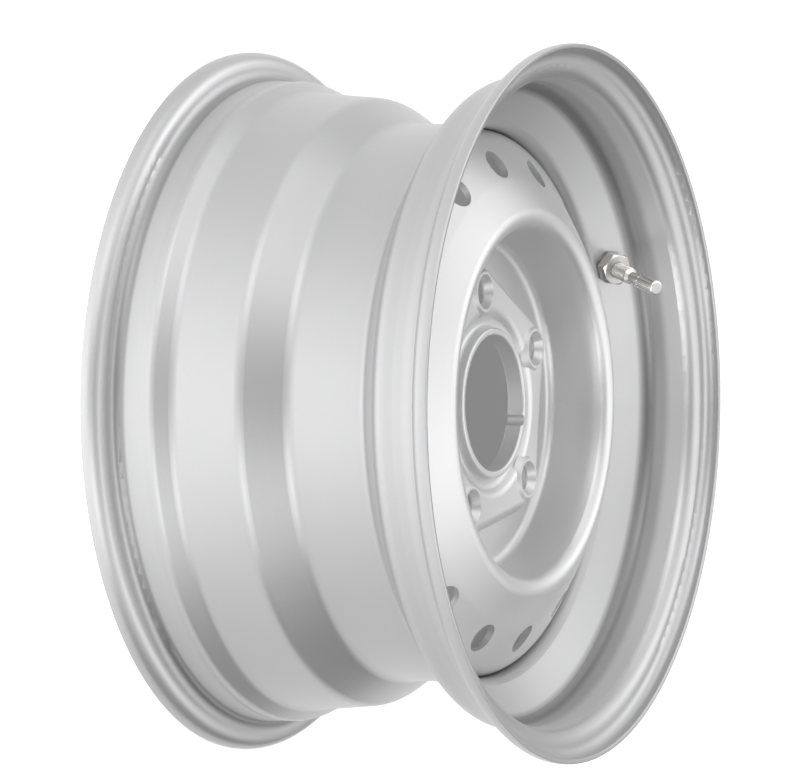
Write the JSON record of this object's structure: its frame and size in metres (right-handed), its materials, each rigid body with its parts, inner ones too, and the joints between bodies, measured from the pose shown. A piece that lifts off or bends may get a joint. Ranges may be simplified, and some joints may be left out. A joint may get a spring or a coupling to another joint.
{
  "type": "wheel rim",
  "caption": "Pressed steel wheel rim with a vented disc, raised nut seats, a drawn centre collar and a clamp-in tyre valve with a screw cap.",
  "frame": {"origin": "centre of the hub face, where the spin axis meets the plane that bears on the axle", "axes": "+Z along the spin axis, out of the wheel's front; the wheel lies on its rear flange; +Y is the side that the picture shows on top"},
  "size_m": [0.4406, 0.4406, 0.228],
  "materials": {
    "silver_paint": "silver wheel paint, half gloss",
    "plated_metal": "bright nickel plate",
    "core_brass": "turned",
    "spring_steel": "drawn wire",
    "black_rubber": "moulded"
  },
  "bodies": {
    "wheel": {"rim_band": "silver_paint", "wheel_disc": "silver_paint", "disc_welds": "silver_paint", "valve_stem": "plated_metal", "valve_grommet": "black_rubber", "valve_washer": "plated_metal", "valve_nut": "plated_metal", "valve_core_body": "core_brass", "valve_core_spring": "spring_steel"},
    "core_pin": {"valve_core_pin": "core_brass", "valve_core_seal": "black_rubber"},
    "cap": {"valve_cap": "plated_metal", "valve_cap_gasket": "black_rubber"}
  },
  "joints": [
    {"name": "pin_press", "type": "slide", "parent": "wheel", "child": "core_pin", "axis": [-0.4954, -0.2746, 0.8241], "range_m": [-0.0012, 0], "stiffness_N_per_m": 300, "springref_m": 0.002, "deforming": ["valve_core_spring"]},
    {"name": "cap_off", "type": "slide", "parent": "wheel", "child": "cap", "axis": [-0.4954, -0.2746, 0.8241], "range_m": [0, 0.02]}
  ]
}
